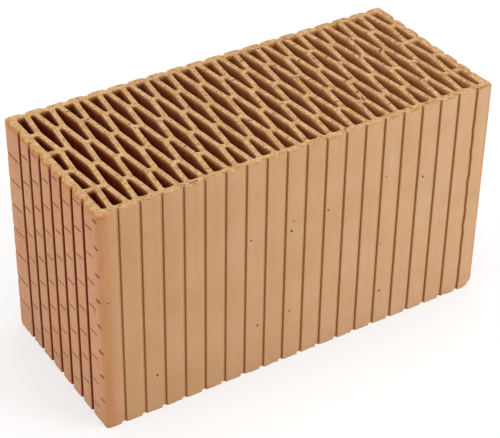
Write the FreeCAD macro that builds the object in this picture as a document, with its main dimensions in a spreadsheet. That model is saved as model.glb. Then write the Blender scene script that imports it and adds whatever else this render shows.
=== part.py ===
import FreeCAD, Part
import math
import os
import Sketcher

# A hollow clay block for walls: one fired piece with straight vertical voids.
# The frame has its origin in the middle of the bottom bed face, X along the
# long side, Y across the block and Z up.  All sizes are in millimetres.
#
# Plan of the voids: columns stand side by side along X.  Columns alternate
# between two kinds, shifted by one row, so the long rhombic voids interlock
# and the clay ribs between them run in zigzags of even thickness.  A row is
# half the length of a rhombic void.  Where a column ends with half a void,
# its wide flat end lies against the long side.  A column of slots with a
# straight outer side closes the lattice at each end of the block.

SIZES = [
    ("length", 440),            # block along X
    ("width", 190),             # block along Y
    ("height", 249),            # between the two ground bed faces
    ("edge_radius", 1.2),       # upright edges of the block
    ("side_shell", 8),          # clay between a long face and the voids
    ("end_shell", 9),           # clay between an end face and the end slots
    ("rib", 6),                 # zigzag rib between neighbouring columns
    ("web", 5.5),               # clay between two voids of one column
    ("tip_radius", 2),          # round tip of a void
    ("void_chamfer", 1.5),      # corners of the flat ends of voids
    ("slot_width", 5),          # end slot at its narrow end
    ("column_pairs", 15),       # pairs of columns beside the first column
    ("rhombs", 2),              # whole rhombic voids in one column
    ("groove_mouth", 5.6),      # plaster groove at the face
    ("groove_floor", 4.4),      # plaster groove at its floor
    ("groove_depth", 2.8),
    ("groove_pitch", 22.3),     # between grooves on a long face
    ("groove_margin", 17),      # least distance from these grooves to the block's end
    ("end_groove_pitch", 21.6),    # between grooves on an end face
    ("end_groove_margin", 22),     # least distance from these grooves to the block's side
]

# Sizes that follow from the ones above.
PLAN = [
    ("rows", "2 * Sizes.rhombs + 1"),
    ("columns", "2 * Sizes.column_pairs + 1"),
    ("void_edge", "Sizes.width / 2 - Sizes.side_shell"),
    ("row_pitch", "(2 * Plan.void_edge + Sizes.web) / Plan.rows"),
    ("half_void", "Plan.row_pitch - Sizes.web / 2"),
    ("tip_centre", "Plan.half_void - Sizes.tip_radius"),
    ("slot_offset", "Sizes.slot_width - Sizes.tip_radius"),
    ("end_column", "Sizes.length / 2 - Sizes.end_shell - Plan.slot_offset"),
    ("column_pitch", "2 * Plan.end_column / (Plan.columns + 1)"),
    ("first_column", "Plan.column_pitch - Plan.end_column"),
    ("long_grooves", "floor((Sizes.length - 2 * Sizes.groove_margin) / Sizes.groove_pitch) + 1"),
    ("end_grooves", "floor((Sizes.width - 2 * Sizes.end_groove_margin) / Sizes.end_groove_pitch) + 1"),
]

# Ways to name a place in a sketch: its axes, its origin and the points of a curve.
H_AXIS, V_AXIS, ORIGIN = -1, -2, -1
START, END, CENTRE = 1, 2, 3
UP = FreeCAD.Vector(0, 0, 1)


def make_sheet(doc):
    """Write the driving sizes into a sheet, one named cell each."""
    sheet = doc.addObject("Spreadsheet::Sheet", "Sizes")
    for row, (name, value) in enumerate(SIZES, start=1):
        sheet.set("A%d" % row, name)
        sheet.set("B%d" % row, str(value))
        sheet.setAlias("B%d" % row, name)
    doc.recompute()
    return {name: float(sheet.get(name)) for name, value in SIZES}


def make_plan(doc):
    """Keep the sizes that follow from the sheet, each bound to its formula."""
    plan = doc.addObject("App::VarSet", "Plan")
    for name, formula in PLAN:
        plan.addProperty("App::PropertyFloat", name)
        plan.setExpression(name, formula)
        doc.recompute()
    return {name: getattr(plan, name) for name, formula in PLAN}


def origin_item(body, role):
    """Find an axis or a plane of the body's own origin."""
    for item in body.Origin.OriginFeatures:
        if item.Role == role:
            return item
    raise ValueError("no origin item " + role)


def add_sketch(body, name, x_text, y_text, turn=0):
    """Place a flat sketch on the bottom bed face, turned about the upright axis."""
    sketch = body.newObject("Sketcher::SketchObject", name)
    sketch.AttachmentSupport = [(origin_item(body, "XY_Plane"), "")]
    sketch.MapMode = "FlatFace"
    sketch.AttachmentOffset = FreeCAD.Placement(FreeCAD.Vector(), FreeCAD.Rotation(UP, turn))
    sketch.setExpression("AttachmentOffset.Base.x", x_text)
    sketch.setExpression("AttachmentOffset.Base.y", y_text)
    return sketch


def line(sketch, start, end):
    return sketch.addGeometry(Part.LineSegment(FreeCAD.Vector(*start), FreeCAD.Vector(*end)), False)


def arc(sketch, centre, radius, first, last):
    circle = Part.Circle(FreeCAD.Vector(*centre), UP, radius)
    return sketch.addGeometry(Part.ArcOfCircle(circle, first, last), False)


def hold(sketch, kind, *places):
    """Add a constraint that has no size."""
    sketch.addConstraint(Sketcher.Constraint(kind, *places))


def measure(sketch, name, formula, kind, *places):
    """Add a constraint with a size and bind it to its formula."""
    index = sketch.addConstraint(Sketcher.Constraint(kind, *places))
    sketch.renameConstraint(index, name)
    sketch.setExpression("Constraints." + name, formula)


def chain(sketch, lines):
    """Join a row of lines, the end of each to the start of the next."""
    for here, after in zip(lines, lines[1:]):
        hold(sketch, "Coincident", here, END, after, START)


def hold_chamfer(sketch, corner, chamfer):
    """Give a corner line that climbs to the right its size both ways."""
    for name, kind in (("chamfer_x", "DistanceX"), ("chamfer_y", "DistanceY")):
        measure(sketch, name, "Sizes.void_chamfer", kind, corner, START, corner, END, chamfer)


def hold_rib(sketch, side, size, plan):
    """Keep half a rib of clay between the side of a void and the rib's own middle."""
    middle = (plan["column_pitch"] / 2, plan["row_pitch"] / 2)
    point = sketch.addGeometry(Part.Point(FreeCAD.Vector(*middle)), True)
    measure(sketch, "rib_x", "Plan.column_pitch / 2", "DistanceX", ORIGIN, START, point, START, middle[0])
    measure(sketch, "rib_y", "Plan.row_pitch / 2", "DistanceY", ORIGIN, START, point, START, middle[1])
    measure(sketch, "half_rib", "Sizes.rib / 2", "Distance", point, START, side, size["rib"] / 2)


def side_lean(size, plan):
    """Lean of a void's side: the line that touches the tip and clears the rib's middle."""
    across = plan["column_pitch"] / 2
    along = plan["tip_centre"] - plan["row_pitch"] / 2
    gap = size["tip_radius"] + size["rib"] / 2
    return math.acos(gap / math.hypot(across, along)) - math.atan2(along, across)


def side_x(size, plan, lean, y):
    """Where a void's leaning side stands at a distance y from the void's middle."""
    reach = plan["tip_centre"] * math.sin(lean) + size["tip_radius"]
    return (reach - y * math.sin(lean)) / math.cos(lean)


def on_circle(centre, radius, angle):
    return (centre[0] + radius * math.cos(angle), centre[1] + radius * math.sin(angle))


def draw_outline(sketch, size):
    """Rectangle of the block's plan about the origin."""
    x, y = size["length"] / 2, size["width"] / 2
    corners = [(-x, -y), (x, -y), (x, y), (-x, y)]
    sides = [line(sketch, a, b) for a, b in zip(corners, corners[1:] + corners[:1])]
    chain(sketch, sides + sides[:1])
    hold(sketch, "Horizontal", sides[0])
    hold(sketch, "Horizontal", sides[2])
    hold(sketch, "Vertical", sides[1])
    hold(sketch, "Vertical", sides[3])
    hold(sketch, "Symmetric", sides[0], START, sides[2], START, ORIGIN, START)
    measure(sketch, "length", "Sizes.length", "DistanceX", sides[0], START, sides[0], END, 2 * x)
    measure(sketch, "width", "Sizes.width", "DistanceY", sides[1], START, sides[1], END, 2 * y)


def draw_groove(sketch, size):
    """Groove with drafted sides, its mouth on the face and its floor above it."""
    mouth, floor, depth = size["groove_mouth"], size["groove_floor"], size["groove_depth"]
    corners = [(-mouth / 2, 0), (mouth / 2, 0), (floor / 2, depth), (-floor / 2, depth)]
    sides = [line(sketch, a, b) for a, b in zip(corners, corners[1:] + corners[:1])]
    chain(sketch, sides + sides[:1])
    hold(sketch, "Symmetric", sides[0], START, sides[0], END, V_AXIS)
    hold(sketch, "Symmetric", sides[2], START, sides[2], END, V_AXIS)
    hold(sketch, "PointOnObject", sides[0], START, H_AXIS)
    measure(sketch, "mouth", "Sizes.groove_mouth", "DistanceX", sides[0], START, sides[0], END, mouth)
    measure(sketch, "floor", "Sizes.groove_floor", "DistanceX", sides[2], END, sides[2], START, floor)
    measure(sketch, "depth", "Sizes.groove_depth", "DistanceY", sides[1], START, sides[1], END, depth)


def draw_rhomb(sketch, size, plan):
    """Whole rhombic void about the sketch origin, long along Y, with round tips."""
    lean = side_lean(size, plan)
    radius, reach = size["tip_radius"], plan["tip_centre"]
    wide = side_x(size, plan, lean, 0)
    top, bottom = (0, reach), (0, -reach)
    right_up = line(sketch, (wide, 0), on_circle(top, radius, lean))
    tip_up = arc(sketch, top, radius, lean, math.pi - lean)
    left_up = line(sketch, on_circle(top, radius, math.pi - lean), (-wide, 0))
    left_down = line(sketch, (-wide, 0), on_circle(bottom, radius, math.pi + lean))
    tip_down = arc(sketch, bottom, radius, math.pi + lean, 2 * math.pi - lean)
    right_down = line(sketch, on_circle(bottom, radius, -lean), (wide, 0))
    hold(sketch, "Tangent", right_up, END, tip_up, START)
    hold(sketch, "Tangent", tip_up, END, left_up, START)
    hold(sketch, "Coincident", left_up, END, left_down, START)
    hold(sketch, "Tangent", left_down, END, tip_down, START)
    hold(sketch, "Tangent", tip_down, END, right_down, START)
    hold(sketch, "Coincident", right_down, END, right_up, START)
    hold(sketch, "Symmetric", right_up, START, left_up, END, V_AXIS)
    hold(sketch, "PointOnObject", right_up, START, H_AXIS)
    hold(sketch, "PointOnObject", tip_up, CENTRE, V_AXIS)
    hold(sketch, "PointOnObject", tip_down, CENTRE, V_AXIS)
    hold(sketch, "Equal", tip_up, tip_down)
    measure(sketch, "tip_radius", "Sizes.tip_radius", "Radius", tip_up, radius)
    measure(sketch, "tip_above", "Plan.tip_centre", "DistanceY", ORIGIN, START, tip_up, CENTRE, reach)
    measure(sketch, "tip_below", "Plan.tip_centre", "DistanceY", tip_down, CENTRE, ORIGIN, START, reach)
    hold_rib(sketch, right_up, size, plan)


def draw_half(sketch, size, plan):
    """Half a rhombic void: flat wide end half a web above the sketch origin, tip upwards."""
    lean = side_lean(size, plan)
    radius, chamfer, reach = size["tip_radius"], size["void_chamfer"], plan["tip_centre"]
    flat_y = size["web"] / 2
    wide_x = side_x(size, plan, lean, flat_y + chamfer)
    right, left = (wide_x, flat_y + chamfer), (-wide_x, flat_y + chamfer)
    flat_right, flat_left = (wide_x - chamfer, flat_y), (chamfer - wide_x, flat_y)
    tip = (0, reach)
    flat = line(sketch, flat_left, flat_right)
    corner_right = line(sketch, flat_right, right)
    side_right = line(sketch, right, on_circle(tip, radius, lean))
    tip_arc = arc(sketch, tip, radius, lean, math.pi - lean)
    side_left = line(sketch, on_circle(tip, radius, math.pi - lean), left)
    corner_left = line(sketch, left, flat_left)
    chain(sketch, [side_left, corner_left, flat, corner_right, side_right])
    hold(sketch, "Tangent", side_right, END, tip_arc, START)
    hold(sketch, "Tangent", tip_arc, END, side_left, START)
    hold(sketch, "Symmetric", flat, START, flat, END, V_AXIS)
    hold(sketch, "Symmetric", side_left, END, side_right, START, V_AXIS)
    hold(sketch, "PointOnObject", tip_arc, CENTRE, V_AXIS)
    measure(sketch, "half_web", "Sizes.web / 2", "DistanceY", ORIGIN, START, flat, START, flat_y)
    measure(sketch, "tip_above", "Plan.tip_centre", "DistanceY", ORIGIN, START, tip_arc, CENTRE, reach)
    measure(sketch, "tip_radius", "Sizes.tip_radius", "Radius", tip_arc, radius)
    hold_chamfer(sketch, corner_right, chamfer)
    hold_rib(sketch, side_right, size, plan)


def draw_slot(sketch, size, plan):
    """End slot: straight outer side on the left, inner side along the neighbouring rib."""
    lean = side_lean(size, plan)
    chamfer, reach, offset = size["void_chamfer"], plan["tip_centre"], plan["slot_offset"]
    low, high = size["web"] / 2, plan["half_void"]
    low_x = side_x(size, plan, lean, low + chamfer)
    high_x = side_x(size, plan, lean, high - chamfer)
    corners = [(chamfer - offset, low), (low_x - chamfer, low),
               (low_x, low + chamfer), (high_x, high - chamfer),
               (high_x - chamfer, high), (chamfer - offset, high),
               (-offset, high - chamfer), (-offset, low + chamfer)]
    sides = [line(sketch, a, b) for a, b in zip(corners, corners[1:] + corners[:1])]
    wide_end, low_right, inner, high_right, narrow_end, high_left, outer, low_left = sides
    chain(sketch, sides + sides[:1])
    hold(sketch, "Horizontal", wide_end)
    hold(sketch, "Horizontal", narrow_end)
    hold(sketch, "Vertical", outer)
    hold_chamfer(sketch, low_right, chamfer)
    hold(sketch, "Perpendicular", low_right, high_right)
    hold(sketch, "Parallel", low_right, high_left)
    hold(sketch, "Perpendicular", low_right, low_left)
    for corner in (high_right, high_left, low_left):
        hold(sketch, "Equal", low_right, corner)
    measure(sketch, "offset", "Plan.slot_offset", "DistanceX", outer, START, ORIGIN, START, offset)
    measure(sketch, "low", "Sizes.web / 2", "DistanceY", ORIGIN, START, wide_end, START, low)
    measure(sketch, "high", "Plan.half_void", "DistanceY", ORIGIN, START, narrow_end, START, high)
    # The inner side leans like the side of a rhombic void with its tip on this column.
    circle = Part.Circle(FreeCAD.Vector(0, reach, 0), UP, size["tip_radius"])
    tip = sketch.addGeometry(circle, True)
    hold(sketch, "PointOnObject", tip, CENTRE, V_AXIS)
    measure(sketch, "tip_above", "Plan.tip_centre", "DistanceY", ORIGIN, START, tip, CENTRE, reach)
    measure(sketch, "tip_radius", "Sizes.tip_radius", "Radius", tip, size["tip_radius"])
    hold(sketch, "Tangent", inner, tip)
    hold_rib(sketch, inner, size, plan)


def add_pocket(body, name, sketch):
    """Cut a sketch upwards from the bottom bed face right through the block."""
    pocket = body.newObject("PartDesign::Pocket", name)
    pocket.Profile = sketch
    pocket.Type = "ThroughAll"
    pocket.Reversed = True
    pocket.Refine = False
    sketch.Visibility = False
    return pocket


def add_core(body, name, sketch):
    """Raise a sketch from the bottom bed face to the top one."""
    core = body.newObject("PartDesign::Pad", name)
    core.Profile = sketch
    core.setExpression("Length", "Sizes.height")
    core.Refine = False
    sketch.Visibility = False
    return core


def add_row(body, name, axis, count_text, step_text, backwards=False):
    """A row of copies along one axis of the block."""
    row = body.newObject("PartDesign::LinearPattern", name)
    row.Direction = (origin_item(body, axis), [""])
    row.Mode = "Spacing"
    row.Reversed = backwards
    row.setExpression("Occurrences", count_text)
    row.setExpression("Offset", step_text)
    return row


def add_mirror(body, name, plane):
    """Copies on the other side of one middle plane of the block."""
    mirror = body.newObject("PartDesign::Mirrored", name)
    mirror.MirrorPlane = (origin_item(body, plane), [""])
    return mirror


def repeat(body, name, feature, steps):
    """Repeat a feature by several steps in turn, and make the result the body's tip."""
    several = body.newObject("PartDesign::MultiTransform", name)
    several.Originals = [feature]
    several.Transformations = steps
    several.Refine = False
    body.Tip = several
    return several


def upright_edges(shape):
    """Names of the edges that stand along Z."""
    names = []
    for number, edge in enumerate(shape.Edges, start=1):
        start, end = edge.Vertexes[0].Point, edge.Vertexes[-1].Point
        if abs(start.x - end.x) < 1e-6 and abs(start.y - end.y) < 1e-6:
            names.append("Edge%d" % number)
    return names


def add_grooves(body, size):
    """Upright plaster grooves on both long faces and both end faces."""
    first = "-(Plan.long_grooves - 1) * Sizes.groove_pitch / 2"
    sketch = add_sketch(body, "LongGrooveSketch", first, "-Sizes.width / 2")
    draw_groove(sketch, size)
    pocket = add_pocket(body, "LongGroove", sketch)
    row = add_row(body, "LongGrooveRow", "X_Axis", "Plan.long_grooves", "Sizes.groove_pitch")
    repeat(body, "LongGrooves", pocket, [row, add_mirror(body, "LongGrooveMirror", "XZ_Plane")])

    first = "-(Plan.end_grooves - 1) * Sizes.end_groove_pitch / 2"
    sketch = add_sketch(body, "EndGrooveSketch", "-Sizes.length / 2", first, -90)
    draw_groove(sketch, size)
    pocket = add_pocket(body, "EndGroove", sketch)
    row = add_row(body, "EndGrooveRow", "Y_Axis", "Plan.end_grooves", "Sizes.end_groove_pitch")
    repeat(body, "EndGrooves", pocket, [row, add_mirror(body, "EndGrooveMirror", "YZ_Plane")])


def add_cores(body, size, plan):
    """The cores that leave the lattice: rhombic voids, half voids along the long sides, end slots."""
    outer_count, inner_count = "Sizes.column_pairs + 1", "Sizes.column_pairs"
    first, second = "Plan.first_column", "Plan.first_column + Plan.column_pitch"
    far_middle = "Plan.void_edge + Sizes.web / 2"
    row_below = far_middle + " - Plan.row_pitch"
    two_rows_below = far_middle + " - 2 * Plan.row_pitch"
    two_columns, two_rows = "2 * Plan.column_pitch", "2 * Plan.row_pitch"

    for name, x_text, y_text, count in (("OuterRhomb", first, row_below, outer_count),
                                        ("InnerRhomb", second, two_rows_below, inner_count)):
        sketch = add_sketch(body, name + "Sketch", x_text, y_text)
        draw_rhomb(sketch, size, plan)
        core = add_core(body, name, sketch)
        along = add_row(body, name + "Along", "X_Axis", count, two_columns)
        across = add_row(body, name + "Across", "Y_Axis", "Sizes.rhombs", two_rows, True)
        repeat(body, name + "s", core, [along, across])

    for name, x_text, y_text, turn, count in (("NearHalf", first, "-(" + far_middle + ")", 0, outer_count),
                                              ("FarHalf", second, far_middle, 180, inner_count)):
        sketch = add_sketch(body, name + "Sketch", x_text, y_text, turn)
        draw_half(sketch, size, plan)
        core = add_core(body, name, sketch)
        repeat(body, name + "s", core, [add_row(body, name + "Along", "X_Axis", count, two_columns)])

    for name, x_text, y_text, turn, count in (
            ("NarrowingSlot", "Plan.end_column", far_middle, 180, "Sizes.rhombs + 1"),
            ("WideningSlot", "-Plan.end_column", two_rows_below, 0, "Sizes.rhombs")):
        sketch = add_sketch(body, name + "Sketch", x_text, y_text, turn)
        draw_slot(sketch, size, plan)
        core = add_core(body, name, sketch)
        across = add_row(body, name + "Across", "Y_Axis", count, two_rows, True)
        repeat(body, name + "s", core, [across, add_mirror(body, name + "Mirror", "YZ_Plane")])


def build_block(doc, size, plan):
    """The grooved block, less the cores that leave its voids."""
    body = doc.addObject("PartDesign::Body", "ClayBlock")
    outline = add_sketch(body, "OutlineSketch", "0", "0")
    draw_outline(outline, size)
    column = add_core(body, "Column", outline)
    doc.recompute()

    rounding = body.newObject("PartDesign::Fillet", "UprightEdges")
    rounding.Base = (column, upright_edges(column.Shape))
    rounding.setExpression("Radius", "Sizes.edge_radius")
    doc.recompute()
    add_grooves(body, size)

    cores = doc.addObject("PartDesign::Body", "VoidCores")
    add_cores(cores, size, plan)
    voids = body.newObject("PartDesign::Boolean", "Voids")
    voids.Type = "Cut"
    voids.addObject(cores)
    voids.Refine = False
    body.Tip = voids
    doc.recompute()
    return body


def check(doc, body):
    """Stop if a feature failed, or if the block is not one valid solid that lost just its cores."""
    for item in doc.Objects:
        if "Invalid" in item.State or "Error" in item.State:
            raise RuntimeError("feature failed: " + item.Name)
    shape = body.Shape
    if shape.isNull() or not shape.isValid() or len(shape.Solids) != 1:
        raise RuntimeError("the block is not one valid solid")
    grooved, cores = doc.getObject("EndGrooves").Shape, doc.getObject("VoidCores").Shape
    if abs(grooved.Volume - cores.Volume - shape.Volume) > 1e-4 * shape.Volume:
        raise RuntimeError("the cores reach outside the block or into each other")
    if grooved.Volume > doc.getObject("UprightEdges").Shape.Volume - 1:
        raise RuntimeError("the grooves did not cut the block")


def main():
    doc = FreeCAD.newDocument("HollowClayBlock")
    size = make_sheet(doc)
    plan = make_plan(doc)
    body = build_block(doc, size, plan)
    check(doc, body)
    os.makedirs("parts", exist_ok=True)
    body.Shape.exportStep("parts/clay_block.step")


main()
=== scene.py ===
"""Looks of the hollow clay block: worn surface, score marks, cracks, colours, light and camera.

The block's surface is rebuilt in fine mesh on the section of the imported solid, so every void,
groove and edge stands where the solid has it.  Wear takes clay away, and the corners of the
voids are filled by less than a millimetre.
Lengths are in millimetres until the mesh is made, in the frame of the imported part.
"""
import math
import random

import bmesh
import bpy
import numpy as np
from mathutils import Matrix, Vector, kdtree, noise
from mathutils.geometry import delaunay_2d_cdt


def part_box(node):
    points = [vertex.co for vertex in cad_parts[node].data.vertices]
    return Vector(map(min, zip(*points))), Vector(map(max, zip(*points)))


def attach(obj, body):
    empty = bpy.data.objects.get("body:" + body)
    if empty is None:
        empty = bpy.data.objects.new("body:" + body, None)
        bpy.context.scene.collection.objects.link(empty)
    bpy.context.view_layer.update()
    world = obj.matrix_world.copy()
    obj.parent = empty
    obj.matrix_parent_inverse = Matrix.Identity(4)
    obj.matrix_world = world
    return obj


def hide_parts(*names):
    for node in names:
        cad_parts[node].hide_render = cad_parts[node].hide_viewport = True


MM = 0.001
NODE = "clay_block"
PIECE = "fired_clay_block"
# Tints of each vertex. Painted shade: the void walls darker with depth, the grooves, and the insides of cuts,
# cracks, pits and pores. Painted light: the paler groove floors.
TINTS = ("skin", "warm", "toast", "hollow", "seam", "pale", "raw", "dark")
CLEAN = dict.fromkeys(TINTS, 0.0)
chance = random.Random(41)


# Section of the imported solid


def read_section(node):
    """Outlines of the top bed face with clay on their left, the block's own outline first, and the height."""
    level_within = 0.01
    mesh = node.data
    mesh.calc_loop_triangles()
    points = np.array([v.co for v in mesh.vertices]) / MM
    triangles = np.array([t.vertices for t in mesh.loop_triangles])
    height = points[:, 2].max()
    on_top = (points[triangles][:, :, 2] > height - level_within).all(axis=1)
    keys = [tuple(p) for p in np.round(points[:, :2], 3)]
    edges = set()
    for triangle in triangles[on_top]:
        a, b, c = (keys[i] for i in triangle)
        edges.update(((a, b), (b, c), (c, a)))
    after = {a: b for a, b in edges if (b, a) not in edges}
    outlines = []
    while after:
        start, here = after.popitem()
        outline = [start]
        while here != start:
            outline.append(here)
            here = after.pop(here)
        outlines.append(np.array(outline))
    outlines.sort(key=lambda o: -np.ptp(o[:, 0]))
    return outlines, height


def unit(vector):
    return vector / np.linalg.norm(vector)


def turn_at(before, here, beyond):
    """Angle by which an outline turns at a point, to the left positive."""
    a, b = here - before, beyond - here
    return math.atan2(a[0] * b[1] - a[1] * b[0], a[0] * b[0] + a[1] * b[1])


def soften(outline, cut, least_turn):
    """Round the corners of an outline that turn enough, over a distance cut along both their sides.

    A corner with a side too short for two such cuts stays.
    """
    short_side = 2.2 * cut
    rounded = []
    count = len(outline)
    for i, here in enumerate(outline):
        before, beyond = outline[i - 1], outline[(i + 1) % count]
        shortest = min(np.linalg.norm(here - before), np.linalg.norm(here - beyond))
        if abs(turn_at(before, here, beyond)) < math.radians(least_turn) or shortest < short_side:
            rounded.append(here)
            continue
        first = here + unit(before - here) * cut
        last = here + unit(beyond - here) * cut
        rounded += [first, (first + 2 * here + last) / 4, last]
    return np.array(rounded)


def resample(outline, step_at, least, halve=None):
    """Thin out close points between corners, and split long sides into steps of the size for their middle.

    A side whose middle passes the test halve is split into at least two.
    """
    corner_turn = math.radians(10)
    count = len(outline)
    corners = [abs(turn_at(outline[i - 1], outline[i], outline[(i + 1) % count])) > corner_turn
               for i in range(count)]
    start = corners.index(True)
    kept = [outline[start]]
    for i in range(1, count):
        j = (start + i) % count
        if corners[j] or np.linalg.norm(outline[j] - kept[-1]) >= least:
            kept.append(outline[j])
    points = []
    for a, b in zip(kept, kept[1:] + kept[:1]):
        parts = max(1, round(float(np.linalg.norm(b - a)) / step_at((a + b) / 2)))
        if halve and halve((a + b) / 2):
            parts = max(2, parts)
        points += [a + (b - a) * k / parts for k in range(parts)]
    return np.array(points)


def side_normals(outline):
    """Unit vectors that point out of the clay at each point of an outline."""
    along = np.roll(outline, -1, axis=0) - np.roll(outline, 1, axis=0)
    normals = np.stack([along[:, 1], -along[:, 0]], axis=1)
    return normals / np.linalg.norm(normals, axis=1, keepdims=True)


def rough(point, size, stretch=1.0, seed=0.0):
    """Smooth random value between about -1 and 1, with lumps of a size, stretched upright."""
    x, y, z = point
    return noise.noise(Vector((x / size + seed, y / size - seed, z / (size * stretch) + seed)))


# Surface of the block


class Clay:
    """Vertices, faces and tints of the block's surface."""

    def __init__(self):
        self.points = []
        self.tints = []
        self.faces = []

    def add(self, point, **tints):
        self.points.append(point)
        self.tints.append({**CLEAN, **tints})
        return len(self.points) - 1

    def join(self, flat, indices, rings=(), edges=()):
        """Triangles over flat points that stand for vertices, along given edges between points.

        Rings give the numbers of points of the closed outlines that come first among the points.
        The first ring is the outer bound, and the others are voids that stay open.
        """
        spread = [Vector(p) for p in flat]
        kind = 1 if rings else 0
        kept_edges = ring_edges(rings) + list(edges)
        placed, _, faces, origins, _, _ = delaunay_2d_cdt(spread, kept_edges, [], kind, 1e-6)
        ring_of = [ring for ring, count in enumerate(rings) for _ in range(count)]
        ring_of += [0] * (len(flat) - len(ring_of))
        for face in faces:
            if not all(origins[i] for i in face):
                continue
            numbers = [origins[i][0] for i in face]
            void = {ring_of[i] for i in numbers}
            corners = [indices[i] for i in numbers]
            if len(set(corners)) < 3 or (len(void) == 1 and void != {0}):
                continue
            a, b, c = (placed[i] for i in face)
            left = (b.x - a.x) * (c.y - a.y) - (b.y - a.y) * (c.x - a.x) > 0
            self.faces.append(corners if left else corners[::-1])


def ring_edges(counts):
    """Edges of closed rings of points that follow each other in one list."""
    edges, first = [], 0
    for count in counts:
        edges += [(first + i, first + (i + 1) % count) for i in range(count)]
        first += count
    return edges


def inside_rows(outlines, box, step):
    """Points of a slightly shaken grid that lie in the clay of the section."""
    shake = 0.2 * step
    starts = np.concatenate(outlines)
    ends = np.concatenate([np.roll(o, -1, axis=0) for o in outlines])
    found = []
    for row, y in enumerate(np.arange(box[0][1] + step / 2, box[1][1], step)):
        crosses = (starts[:, 1] > y) != (ends[:, 1] > y)
        a, b = starts[crosses], ends[crosses]
        hits = np.sort(a[:, 0] + (y - a[:, 1]) / (b[:, 1] - a[:, 1]) * (b[:, 0] - a[:, 0]))
        for x in np.arange(box[0][0] + step * (0.25 + 0.5 * (row % 2)), box[1][0], step):
            if np.searchsorted(hits, x) % 2:
                found.append((x + chance.uniform(-shake, shake), y + chance.uniform(-shake, shake)))
    return found


def tree_of(points):
    tree = kdtree.KDTree(len(points))
    for i, p in enumerate(points):
        tree.insert((p[0], p[1], 0), i)
    tree.balance()
    return tree


# Cracks of the top face that the photo shows: both ends and the half width.
SEEN_CRACKS = (
    ((56, 48), (51, 34), 0.6), ((55, 17), (67, 16), 0.6), ((83, 44), (80, 35), 0.45),
    ((93, 41), (102, 38), 0.5), ((96, -16), (110, -11), 0.6), ((91, -41), (99, -37), 0.5),
    ((169, 20), (152, 7), 1.1), ((184, 19), (192, 26), 0.45), ((177, -20), (191, -22), 0.4),
    ((41, -31), (37, -43), 0.5), ((-157, 53), (-150, 53), 0.4), ((-102, 18), (-91, 13), 0.4),
    ((-125, -92), (-116, -91), 0.5), ((60, 40), (67, 47), 0.45), ((97, -46), (93, -55), 0.5),
)
# Open pores of the top face that the photo shows: centres.
SEEN_PORES = (
    (174, 3), (135, 38), (148, 38), (94, -50), (145, -70), (-111, 37), (-140, 14), (-139, 2), (-134, 5),
    (-125, -42), (-130, -91), (-112, -55), (-203, 87), (-148, 78), (169, -24),
)
CRACK_STEP = 0.85
FINE_CRACK_STEPS = 7
FINE_CRACK_HALF = 0.42
PORE_DEPTH = 2.0


def crack_lines(outlines, normals):
    """Cracks across ribs as lines of points with a half width: the seen ones, and a few random ones."""
    lines = []
    for start, stop, half in SEEN_CRACKS:
        start, stop = np.array(start, float), np.array(stop, float)
        steps = round(float(np.linalg.norm(stop - start)) / CRACK_STEP)
        line = []
        for k in range(steps + 1):
            shake = np.array([chance.uniform(-0.3, 0.3), chance.uniform(-0.3, 0.3)])
            line.append(start + (stop - start) * k / steps + shake)
        lines.append((line, half))
    for outline, normal in zip(outlines[1:], normals[1:]):
        share_cracked = 0.42 if outline[:, 0].mean() > -60 else 0.12
        if chance.random() > share_cracked:
            continue
        i = chance.randrange(len(outline))
        inwards = math.atan2(-normal[i][1], -normal[i][0]) + chance.uniform(-0.5, 0.5)
        bend = chance.uniform(-0.12, 0.12)
        line, here = [], outline[i].copy()
        for _ in range(FINE_CRACK_STEPS):
            here = here + CRACK_STEP * np.array([math.cos(inwards), math.sin(inwards)])
            inwards += bend
            line.append(here)
        lines.append((line, FINE_CRACK_HALF))
    return lines


def flat_rings(clay, rings):
    """Plan of rings of vertices, as they stand after wear."""
    return [np.array([clay.points[i][:2] for i in ring]) for ring in rings]


def along_rings(outlines, step):
    """Close points along all outlines, to measure distances from them."""
    close = []
    for outline in outlines:
        for a, b in zip(outline, np.roll(outline, -1, axis=0)):
            parts = max(1, math.ceil(float(np.linalg.norm(b - a)) / step))
            close += [a + (b - a) * k / parts for k in range(parts)]
    return close


def crack_points(outlines, normals):
    """Points of the cracks and pores in the top face: X, Y and depth, their edges at little or no depth."""
    marks = []
    for line, half in crack_lines(outlines, normals):
        for here, beyond in zip(line, line[1:]):
            along = unit(beyond - here)
            aside = np.array([-along[1], along[0]]) * half * chance.uniform(0.8, 1.2)
            marks.append((*here, (1.2 + 2 * half) * chance.uniform(0.8, 1.2)))
            marks += [(*(here + aside), 0.3), (*(here - aside), 0.3)]
    for x, y in SEEN_PORES:
        radius = chance.uniform(0.8, 1.2)
        marks.append((x, y, PORE_DEPTH))
        for k in range(6):
            angle = math.pi * k / 3
            across, up = radius * math.cos(angle), radius * math.sin(angle)
            marks += [(x + 0.55 * across, y + 0.55 * up, 0.6 * PORE_DEPTH), (x + across, y + up, 0.0)]
    return marks


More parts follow.
